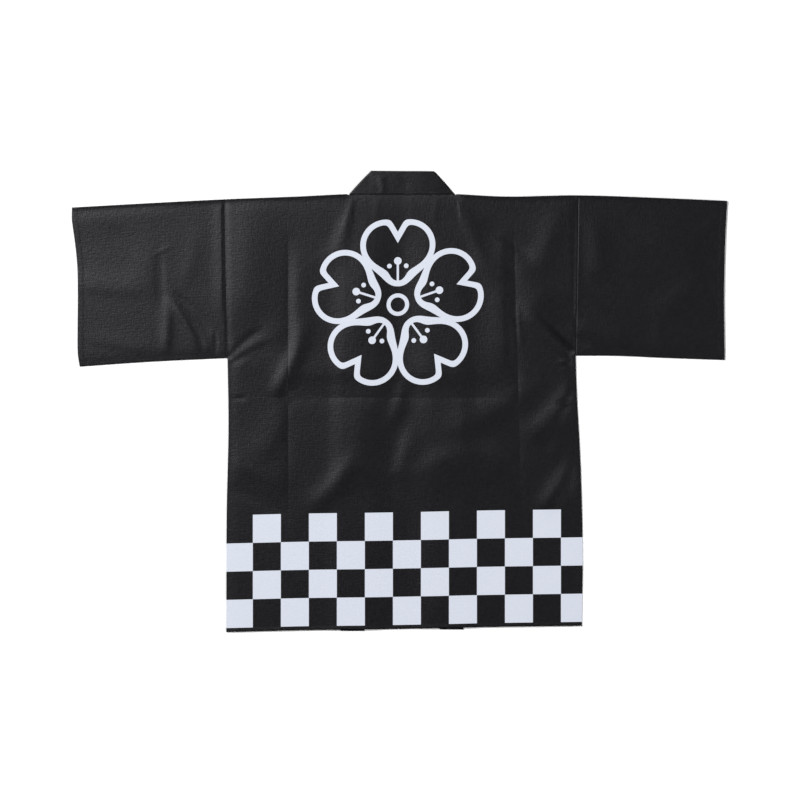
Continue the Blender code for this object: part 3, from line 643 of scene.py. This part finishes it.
def layer_below(x, y):
    """Height of whatever lies under the back: the fronts, the collar's bands, or the surface. Near
    the neck the seam holds the cloth level with the bands."""
    outer_left, inner_left, inner_right, outer_right = band_edges(y)

    def over(outer, inner):
        rise = ease((outer + BAND_RISE) / (BAND_RISE - BAND_CLEAR))
        fall = ease((inner - BAND_CLEAR) / (BAND_FALL - BAND_CLEAR))
        return LAYER + (COLLAR_WALL - LAYER) * rise - COLLAR_WALL * fall

    left = over(x - outer_left, x - inner_left)
    right = over(outer_right - x, inner_right - x)
    draped = np.maximum(left, right)
    past_neck = np.maximum(np.maximum(NECK_CORNERS[0] - x, x - NECK_CORNERS[1]), 0)
    level = LAYER + (COLLAR_WALL - LAYER) * np.exp(-((past_neck / NECK_HOLDS_REACH) ** 2))
    held = NECK_HOLDS * ease((y - NECK_HOLDS_FROM) / NECK_HOLDS_RISE)
    return draped + held * np.maximum(level - draped, 0)


def inset(x, y):
    """Distance in from the nearest of the side seams and underarm seams."""
    sides = (
        (x - along(LEFT_SIDE, y), ARMPITS[0][1], y - along(LEFT_UNDERARM, x)),
        (along(RIGHT_SIDE, y) - x, ARMPITS[1][1], y - along(RIGHT_UNDERARM, x)),
    )
    nearest = np.inf
    for from_side, armpit, from_underarm in sides:
        on_body = np.hypot(np.maximum(from_side, 0), np.maximum(y - armpit, 0))
        nearest = np.minimum(nearest, np.where(from_side > 0, on_body, from_underarm))
    return np.maximum(nearest, 0)


def seam_dip(x, y):
    """How far the cloth dips at the armhole seams, falling off as a bell either side of each."""
    dip = 0
    for seam, (_, armpit), reaches in zip((LEFT_SIDE, RIGHT_SIDE), ARMPITS, SEAM_REACHES):
        across = x - along(seam, y)
        reach = np.where(across < 0, *reaches)
        dip = dip + SEAM_DIP * np.exp(-((across / reach) ** 2)) * ease((y - armpit) / SEAM_DIP_END)
    return dip


def top_height(x, y, on_body):
    """Height of the cloth's upper face: the layer below, the belly of the cloth and its folds."""
    below = layer_below(x, y) if on_body else np.full_like(x, LAYER)
    stand = np.full_like(x, BELLY)
    for fold in FOLDS:
        stand = stand + shape_of(fold, x, y)
    for crease in CREASES:
        stand = stand + shape_of(crease, x, y, sharp=True)
    stand = (stand + np.sqrt(stand**2 + SOFT_FLOOR**2)) / 2
    stand = stand * (1 - np.exp(-((inset(x, y) / EDGE_FADE) ** 2)))
    from_fold = np.maximum(along(SHOULDERS, x) - y, 0)
    stand = stand * (1 - np.exp(-((from_fold / EDGE_FADE) ** 2)))
    return below + GAP + LAYER + stand + spring(x, from_fold) - seam_dip(x, y)


def spring(x, from_fold):
    """How far the shoulder folds spring open, dying away in from the fold, but not at the neck."""
    past_neck = np.maximum(NECK_CORNERS[0] - x, x - NECK_CORNERS[1])
    clear, rise = SPRING_CLEAR
    return SPRING * np.exp(-from_fold / SPRING_REACH) * ease((past_neck - clear) / rise)


BLOSSOM_AT = (-0.0036, 0.5790)  # its middle, across and up from the hem
INK_LINE = 0.0100
PETAL_MIDDLE = 0.1060
PETAL_LOBES = 0.0210  # how far each petal's two lobes stand either side of its middle
PETAL_RADIUS = 0.0460
PETAL_FOOT = 0.0520
FOOT_RADIUS = 0.0160
PETAL_SMOOTH = 0.0750
NOTCH_AT = 0.1300
NOTCH_SIDE = 0.866  # across and up of the notch's slanting side
NOTCH_UP = 0.50
NOTCH_SMOOTH = 0.0080
STEM_HALF = (0.0020, 0.0190)  # across and along
STEM_MIDDLE = 0.0560
HEAD_AT = 0.0780
HEAD_RADIUS = 0.0068
DOTS_AT = (0.0690, 0.0150)
DOT_RADIUS = 0.0042
RING_RADIUS = 0.0165
RING_HALF = 0.0036


def printed_blossom(recipe, u, v):
    """1 on the ink of a five-petalled blossom drawn in outline.

    One half petal is drawn and mirrored and repeated by folding its angle. Its edge is where the least
    distance to a round lobe and a small round foot, smoothed between them, is zero, less a notch at
    its tip. The ink fills a band inside the edge, a ring at the middle and a stamen on each petal.
    """
    math = recipe.math
    x = math("SUBTRACT", u, BLOSSOM_AT[0])
    y = math("SUBTRACT", v, BLOSSOM_AT[1])
    out = math("SQRT", math("MULTIPLY_ADD", x, x, math("MULTIPLY", y, y)))
    fifth = 2 * np.pi / 5
    angle = math("ADD", math("ARCTAN2", x, y), fifth / 2 + 2 * np.pi)
    folded = math("ABSOLUTE", math("SUBTRACT", math("FLOORED_MODULO", angle, fifth), fifth / 2))
    tip = math("MULTIPLY", out, math("COSINE", folded))
    side = math("MULTIPLY", out, math("SINE", folded))

    def from_point(at_tip, at_side):
        dx = math("SUBTRACT", tip, at_tip)
        dy = math("SUBTRACT", side, at_side)
        return math("SQRT", math("MULTIPLY_ADD", dx, dx, math("MULTIPLY", dy, dy)))

    def within(distance, half):
        return math("LESS_THAN", math("ABSOLUTE", distance), half)

    lobe = math("SUBTRACT", from_point(PETAL_MIDDLE, PETAL_LOBES), PETAL_RADIUS)
    foot = math("SUBTRACT", from_point(PETAL_FOOT, 0.0), FOOT_RADIUS)
    petal = math("SMOOTH_MIN", lobe, foot, PETAL_SMOOTH)
    past_notch = math("MULTIPLY", math("SUBTRACT", tip, NOTCH_AT), NOTCH_UP)
    notch = math("MULTIPLY_ADD", side, -NOTCH_SIDE, past_notch)
    edge = math("SMOOTH_MAX", petal, notch, NOTCH_SMOOTH)
    outline = within(math("ADD", edge, INK_LINE / 2), INK_LINE / 2)

    along_stem = within(math("SUBTRACT", tip, STEM_MIDDLE), STEM_HALF[1])
    stem = math("MULTIPLY", within(side, STEM_HALF[0]), along_stem)
    head = math("LESS_THAN", from_point(HEAD_AT, 0.0), HEAD_RADIUS)
    dots = math("LESS_THAN", from_point(*DOTS_AT), DOT_RADIUS)
    ring = within(math("SUBTRACT", out, RING_RADIUS), RING_HALF)
    ink = outline
    for more in (stem, head, dots, ring):
        ink = math("MAXIMUM", ink, more)
    return ink


printed_cloth = cloth_material("printed_cloth", [printed_checks, printed_blossom])
CREASE_HALF = 0.0040
TURN_LINES = 5
NECK_DIP = 0.0005  # where the neck edge goes into its seam
HEM_DOUBLE = 0.00025  # how much higher the turned-up hem stands


def turned_lines():
    """The lines of an edge from its foot inwards: inset if turned down, inset if flat, and drop.

    A turned edge stands on the surface and bends over by a quarter turn into the upper face.
    """
    angle = np.linspace(0, np.pi / 2, TURN_LINES)
    turned_in = np.append(0, TURN * (1 - np.cos(angle)))
    flat_in = np.linspace(0, TURN, TURN_LINES + 1)
    drop = np.append(np.inf, TURN * (1 - np.sin(angle)))
    return turned_in, flat_in, drop


def crease_at(crease, y):
    """Distance across of a crease that runs up the back, at height y."""
    return crease.x0 + (crease.x1 - crease.x0) * (y - crease.y0) / (crease.y1 - crease.y0)


def back_rows(x, top):
    """Heights up the back at distances across x: one row for each line that runs across it."""
    hem = along(HEM, x)
    level = CREASES[2].y0
    share = (x - ARMPITS[0][0]) / (ARMPITS[1][0] - ARMPITS[0][0])
    armpit = ARMPITS[0][1] + (ARMPITS[1][1] - ARMPITS[0][1]) * share
    keys = (
        hem,
        hem + 2 * HEM_STRIP,
        -0.0300,
        level - CREASE_HALF,
        level,
        level + CREASE_HALF,
        armpit - ARMPIT_OPENS,
        armpit + ARMPIT_OPENS,
        0.1500,
        top - 0.0300,
        top,
    )
    steps = [graded(n) for n in (6, 58, 9, 4, 4, 30, 4, 32, 38, 10)]
    return divided(keys, steps)


def back_columns(y, left, right):
    """Distances across the back at heights y: one column for each line that runs up it."""
    creases = [crease_at(crease, y) for crease in CREASES[:2]]
    keys = (
        left + TURN,
        left + 0.0070,
        left + 0.0750,
        creases[0] - CREASE_HALF,
        creases[0],
        creases[0] + CREASE_HALF,
        NECK_CORNERS[0] - 0.0140,
        NECK_CORNERS[0] + 0.0060,
        NECK_CORNERS[1] - 0.0060,
        NECK_CORNERS[1] + 0.0140,
        creases[1] - CREASE_HALF,
        creases[1],
        creases[1] + CREASE_HALF,
        right - 0.0750,
        right - 0.0070,
        right - TURN,
    )
    steps = [graded(n) for n in (7, 32, 9, 4, 4, 18, 11, 36, 11, 18, 4, 4, 9, 32, 7)]
    return divided(keys, steps)


def make_back():
    """Turned down to the surface along the shoulders and the side seams, and cut elsewhere."""
    turned_in, flat_in, drop = turned_lines()

    # Heights of the rows at the two sides, and the edges there
    rows_left = back_rows(np.array([LEFT_SIDE[0].value]), LEFT_SIDE[-1].at - TURN)[0]
    rows_right = back_rows(np.array([RIGHT_SIDE[0].value]), RIGHT_SIDE[-1].at - TURN)[0]
    rows_left = np.append(rows_left, np.full(TURN_LINES, rows_left[-1]))
    rows_right = np.append(rows_right, np.full(TURN_LINES, rows_right[-1]))
    row_line = np.full(len(rows_left), TURN_LINES)
    row_line[-TURN_LINES:] = np.arange(TURN_LINES)[::-1]
    left = along(LEFT_SIDE, rows_left)
    right = along(RIGHT_SIDE, rows_right)
    left_turn = ease((ARMPITS[0][1] + ARMPIT_OPENS - rows_left) / (2 * ARMPIT_OPENS))[:, None]
    right_turn = ease((ARMPITS[1][1] + ARMPIT_OPENS - rows_right) / (2 * ARMPIT_OPENS))[:, None]

    # Across: the lines up the back, with a turned or flat edge each side
    lines = back_columns((rows_left + rows_right) / 2, left, right)
    edge_line = np.arange(TURN_LINES)
    left_in = left_turn * turned_in[edge_line] + (1 - left_turn) * flat_in[edge_line]
    right_in = right_turn * turned_in[edge_line] + (1 - right_turn) * flat_in[edge_line]
    x = np.hstack([left[:, None] + left_in, lines, right[:, None] - right_in[:, ::-1]])
    column_line = np.concatenate([edge_line, np.full(lines.shape[1], TURN_LINES), edge_line[::-1]])

    # Up: from the hem to the shoulder folds, or to the cut neck edge between them
    top_x = x[-1]
    outside_neck = np.maximum(NECK_CORNERS[0] - top_x, top_x - NECK_CORNERS[1])
    column_turn = ease((outside_neck - NECK_CLEAR) / (NECK_TURN_END + TURN - NECK_CLEAR))
    neck_edge = NECK_LINE - np.where(outside_neck > 0, NECK_NOTCH, GAP)
    at_neck = outside_neck < (NECK_TURN_END + NECK_CLEAR) / 2
    top = np.where(at_neck, neck_edge, along(SHOULDERS, top_x))
    row_in = turned_in[row_line][:, None], flat_in[row_line][:, None]
    top_in = column_turn * row_in[0] + (1 - column_turn) * row_in[1]
    rows = back_rows(x, top - TURN)
    pick = np.minimum(np.arange(len(x)), rows.shape[-1] - 1)
    y = rows[np.arange(len(x)), :, pick]
    y = np.where((row_line < TURN_LINES)[:, None], top - top_in, y)

    z = top_height(x, y, on_body=True)
    # The neck edge dips into its seam, and the hem is double
    neck_dip = NECK_DIP * np.exp(-(((NECK_LINE - y) / 0.0020) ** 2)) * ease(-outside_neck / 0.004)
    above_hem = y - along(HEM, x)
    double = HEM_DOUBLE * ease((HEM_STRIP + 0.0008 - above_hem) / 0.0012)
    z = z - neck_dip + double
    turn = np.where(x < 0, left_turn, right_turn)
    side_drop = turn * np.minimum(drop[column_line], z)
    top_drop = column_turn * np.minimum(drop[row_line][:, None], z)
    z = z - np.maximum(side_drop, top_drop)
    points = np.stack([x, y, z], axis=-1)
    cut = np.stack([x, above_hem], axis=-1)
    piece = cloth_piece("back_cloth", points, cut, [printed_cloth, inside_cloth])
    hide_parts("back")
    return piece


back = make_back()


# The sleeves.
# Each is one rectangle of the black cloth folded along the top and closed by a seam below, sewn to the
# armhole and hemmed at the cuff. Pressed flat, it lies with one layer on the other.

LEFT_CUFF = (
    Place(0.0621, -0.5716),
    Place(0.0805, -0.5744),
    Place(0.1234, -0.5753),
    Place(0.19, -0.5748),
    Place(0.2379, -0.5757),
    Place(0.2809, -0.5797),
    Place(0.3095, -0.5836),
    Place(0.3238, -0.5854),
    Place(0.3462, -0.5852),
)
RIGHT_CUFF = (
    Place(0.0738, 0.58),
    Place(0.202, 0.5789),
    Place(0.317, 0.5822),
    Place(0.358, 0.5845),
)
CUFF_HEM = 0.0115
CUFF_DOUBLE = 0.00020
FOLD_PRESSED = 0.5  # how far the top fold bulges out, as a share of a half round


def make_sleeve(name, node, side):
    """A flat tube: round it, the lower layer, the top fold, the upper layer and the seam below; along
    it, from armhole to cuff."""
    left = (LEFT_SIDE, LEFT_CUFF, LEFT_UNDERARM)
    right = (RIGHT_SIDE, RIGHT_CUFF, RIGHT_UNDERARM)
    seam, cuff, underarm = left if side < 0 else right
    radius = LAYER + GAP / 2
    pressed = radius * FOLD_PRESSED
    bend = np.linspace(-np.pi / 2, np.pi / 2, 9)[1:-1]
    under = graded(30)
    over = 1 - graded(100)
    edge = np.ones(len(bend))
    place = np.concatenate([under, edge, over, edge * 0])
    reach = np.concatenate([under * 0, pressed * np.cos(bend), over * 0, -radius * np.cos(bend)])
    height = np.concatenate(
        [under * 0, radius + radius * np.sin(bend), over * 0, radius - radius * np.sin(bend)]
    )
    is_upper = np.concatenate([under * 0, edge * 0, over * 0 + 1, edge * 0])
    at_fold = np.concatenate([under * 0, edge, over * 0, edge * 0]) > 0

    # Places along, closer together at the armhole and at the cuff
    stretch = [graded(8) * 0.03, 0.03 + graded(86)[1:] * 0.92, 0.95 + graded(9)[1:] * 0.05]
    out = np.concatenate(stretch)[:, None]
    x = seam[-1].value + (cuff[-1].value - seam[-1].value) * out + np.zeros(len(place))
    for _ in range(3):
        low = along(underarm, x) + radius
        high = along(SHOULDERS, x) - pressed
        y = low + (high - low) * place + reach
        start = along(seam, y) + side * GAP
        x = start + (along(cuff, y) - start) * out
    # The fold along the top springs open
    opened = 1 + spring(x, 0.0) / (2 * radius)
    height = np.where(at_fold, height * opened, height)
    from_cuff = side * (along(cuff, y) - x)
    double = CUFF_DOUBLE * ease((CUFF_HEM - from_cuff) / 0.0040)
    z = np.where(is_upper > 0, top_height(x, y, on_body=False) + double, height)
    points = np.stack([x, y, z], axis=-1)
    closed = np.concatenate([points, points[:, :1]], axis=1)
    round_it = np.cumsum(np.linalg.norm(np.diff(closed[0], axis=0), axis=1))
    length = np.abs(x - start)
    length = np.hstack([length, length[:, :1]])
    cut = np.stack([length, np.broadcast_to(np.append(0, round_it), length.shape)], axis=-1)
    if side < 0:
        points, cut = points[::-1], cut[::-1]
    piece = cloth_piece(name, points, cut, [plain_cloth, inside_cloth], ring=True)
    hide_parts(node)
    return piece


sleeve_left = make_sleeve("sleeve_left_cloth", "sleeve_left", -1)
sleeve_right = make_sleeve("sleeve_right_cloth", "sleeve_right", 1)


# The stitching.
# Black sewing thread, in a row of stitches round each hem and along the collar's seam. They hold the
# turned-in edges, and each stitch sinks into the cloth at both ends.

STITCH = 0.0030  # from one stitch to the next
STITCH_SHOWN = 0.0025
THREAD_RADIUS = 0.00017
STITCH_RISE = 0.00010
HEM_STITCH = 0.0026  # from the edge to the row of stitches
CUFF_STITCH = 0.0100
COLLAR_STITCH = 0.0024
STITCH_SIDES = 6
STITCH_RINGS = 5
STITCH_JITTER = 0.00006
PLY_TURN = 0.0005  # length of one turn of the thread's plies
stitch_shifts = np.random.default_rng(11)


def thread_material():
    """Two plies laid round each other: a sine of the distance along and across."""
    recipe = Recipe("black_thread")
    at = recipe.node("ShaderNodeTexCoord").outputs["Object"]
    x, y, _ = recipe.node("ShaderNodeSeparateXYZ", (at,)).outputs
    turns = recipe.math("MULTIPLY", recipe.math("ADD", x, y), 2 * np.pi / PLY_TURN)
    twist = recipe.math("SINE", turns)
    bump = recipe.node("ShaderNodeBump", {"Strength": 0.5, "Distance": 0.00003, "Height": twist})
    recipe.feed(recipe.shader.inputs["Normal"], bump.outputs[0])
    recipe.shader.inputs["Base Color"].default_value = (0.0035, 0.0034, 0.0042, 1.0)
    recipe.shader.inputs["Roughness"].default_value = 0.42
    recipe.shader.inputs["Specular IOR Level"].default_value = 0.28
    return recipe.material


black_thread = thread_material()


def stitch_rows(name, cloth, rows):
    """Stitches along rows, each (places across, places up, face), on the upper face of the cloth where
    face is 1 and on its lower face where it is -1."""
    tree = BVHTree.FromPolygons(
        [vertex.co for vertex in cloth.data.vertices],
        [polygon.vertices for polygon in cloth.data.polygons],
    )
    t = np.linspace(-1, 1, STITCH_RINGS)
    angle = 2 * np.pi * np.arange(STITCH_SIDES) / STITCH_SIDES
    radius = THREAD_RADIUS * np.sqrt(1 - 0.85 * t**2)
    vertices = []
    for row_x, row_y, face in rows:
        far = np.append(0, np.cumsum(np.hypot(np.diff(row_x), np.diff(row_y))))
        count = int(far[-1] / STITCH)
        middle = (np.arange(count) + 0.5) * far[-1] / count
        middle = middle + stitch_shifts.normal(0, STITCH_JITTER, count)
        at = middle[:, None] + t * STITCH_SHOWN / 2
        x, y = np.interp(at, far, row_x), np.interp(at, far, row_y)
        z = np.array(
            [
                tree.ray_cast(Vector((a, b, face)), Vector((0, 0, -face)))[0].z
                for a, b in zip(x.ravel(), y.ravel())
            ]
        ).reshape(x.shape)
        z = z + face * STITCH_RISE * (1 - 3 * t**2)
        run = np.stack([x[:, -1] - x[:, 0], y[:, -1] - y[:, 0]], axis=1)
        run = run / np.hypot(*run.T)[:, None]
        around = radius[:, None] * np.stack([np.cos(angle), np.sin(angle)])[:, None, :]
        vertices.append(
            np.stack(
                [
                    x[:, :, None] - run[:, 1][:, None, None] * around[0],
                    y[:, :, None] + run[:, 0][:, None, None] * around[0],
                    z[:, :, None] + around[1],
                ],
                axis=-1,
            ).reshape(-1, 3)
        )
    vertices = np.concatenate(vertices)
    ring = np.arange(STITCH_RINGS * STITCH_SIDES).reshape(STITCH_RINGS, STITCH_SIDES)
    closed = np.hstack([ring, ring[:, :1]])
    sides = quads_of(closed).reshape(-1, 4)
    faces = [*sides.tolist(), ring[0, ::-1].tolist(), ring[-1].tolist()]
    starts = range(0, len(vertices), ring.size)
    mesh = bpy.data.meshes.new(name)
    every_face = [[start + i for i in face] for start in starts for face in faces]
    mesh.from_pydata(vertices.tolist(), [], every_face)
    mesh.shade_smooth()
    mesh.materials.append(black_thread)
    piece = bpy.data.objects.new(name, mesh)
    bpy.context.scene.collection.objects.link(piece)
    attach(piece, "root")
    return piece


def hem_row(start, end, face):
    """A row just above the coat's lower edge, from start to end across."""
    x = np.linspace(start, end, 80)
    return x, along(HEM, x) + HEM_STITCH, face


def cuff_rows(cuff, underarm, side):
    """The row that holds a cuff's hem, over the upper face and under the lower one."""
    low = along(underarm, cuff[0].value) + 0.0030
    y = np.linspace(low, cuff[-1].at - 0.0030, 60)
    x = along(cuff, y) - side * CUFF_STITCH
    return [(x, y, 1), (x, y, -1)]


def band_row(side, hem):
    """The row along the seam edge of one of the collar's two bands, seen from below."""
    y = np.linspace(hem + 0.0040, NECK_LINE - 0.0120, 80)
    x = band_edges(y)[0 if side < 0 else 3] - side * COLLAR_STITCH
    return x, y, -1


neck_x = np.linspace(NECK_CORNERS[0] + 0.0020, NECK_CORNERS[1] - 0.0020, 60)
neck_row = (neck_x, np.full_like(neck_x, NECK_LINE + COLLAR_STITCH), 1)
back_stitches = stitch_rows(
    "back_stitches",
    back,
    [hem_row(LEFT_SIDE[0].value + 0.0030, RIGHT_SIDE[0].value - 0.0030, 1)],
)
front_left_stitches = stitch_rows(
    "front_left_stitches",
    front_left,
    [hem_row(LEFT_SIDE[0].value + 0.0060, band_edges(BAND_HEMS[0])[0] - 0.0030, -1)],
)
front_right_stitches = stitch_rows(
    "front_right_stitches",
    front_right,
    [hem_row(band_edges(BAND_HEMS[1])[3] + 0.0030, RIGHT_SIDE[0].value - 0.0060, -1)],
)
collar_stitches = stitch_rows(
    "collar_stitches",
    collar,
    [neck_row, band_row(-1, BAND_HEMS[0]), band_row(1, BAND_HEMS[1])],
)
sleeve_left_stitches = stitch_rows(
    "sleeve_left_stitches", sleeve_left, cuff_rows(LEFT_CUFF, LEFT_UNDERARM, -1)
)
sleeve_right_stitches = stitch_rows(
    "sleeve_right_stitches", sleeve_right, cuff_rows(RIGHT_CUFF, RIGHT_UNDERARM, 1)
)


# Every piece lies as it was laid out or folded. The sizes are those of the cloth that shows, with no
# seam allowances.


# The surface, the light and the camera.
# A plain white table top, lit evenly from all round with the main light from the upper left, and seen
# from straight above.

FLOOR_HALF = 30.0
FLOOR_HEIGHT = -0.0002  # just clear of the flat cloth

floor_mesh = bpy.data.meshes.new("floor")
floor_corners = [(-1, -1), (1, -1), (1, 1), (-1, 1)]
floor_mesh.from_pydata(
    [(FLOOR_HALF * x, FLOOR_HALF * y, FLOOR_HEIGHT) for x, y in floor_corners], [], [(0, 1, 2, 3)]
)
floor = bpy.data.objects.new("floor", floor_mesh)
bpy.context.scene.collection.objects.link(floor)
table_top = bpy.data.materials.new("table_top")
table_top.use_nodes = True
table_shader = table_top.node_tree.nodes["Principled BSDF"]
table_shader.inputs["Base Color"].default_value = (0.97, 0.97, 0.97, 1.0)
table_shader.inputs["Roughness"].default_value = 0.9
table_shader.inputs["Specular IOR Level"].default_value = 0.1
floor_mesh.materials.append(table_top)

world = bpy.data.worlds.new("studio")
world.use_nodes = True
world.node_tree.nodes["Background"].inputs["Color"].default_value = (1.0, 1.0, 1.0, 1.0)
world.node_tree.nodes["Background"].inputs["Strength"].default_value = 0.045
bpy.context.scene.world = world


def add_lamp(name, place, size, strength):
    """A square soft lamp that faces the middle of the coat."""
    lamp = bpy.data.lights.new(name, "AREA")
    lamp.shape = "SQUARE"
    lamp.size = size
    lamp.energy = strength
    piece = bpy.data.objects.new(name, lamp)
    bpy.context.scene.collection.objects.link(piece)
    piece.location = place
    piece.rotation_euler = (-Vector(place)).to_track_quat("-Z", "Y").to_euler()


add_lamp("main_lamp", (-2.95, 2.06, 4.30), 1.5, 364.0)
add_lamp("side_lamp", (4.42, -1.69, 3.25), 2.1, 185.0)

camera_data = bpy.data.cameras.new("camera")
camera_data.lens = 120.0
camera_data.sensor_width = 36.0
camera = bpy.data.objects.new("camera", camera_data)
bpy.context.scene.collection.objects.link(camera)
camera.location = (0.0003, 0.0024, 4.7634)
bpy.context.scene.camera = camera
bpy.context.scene.view_settings.view_transform = "Standard"
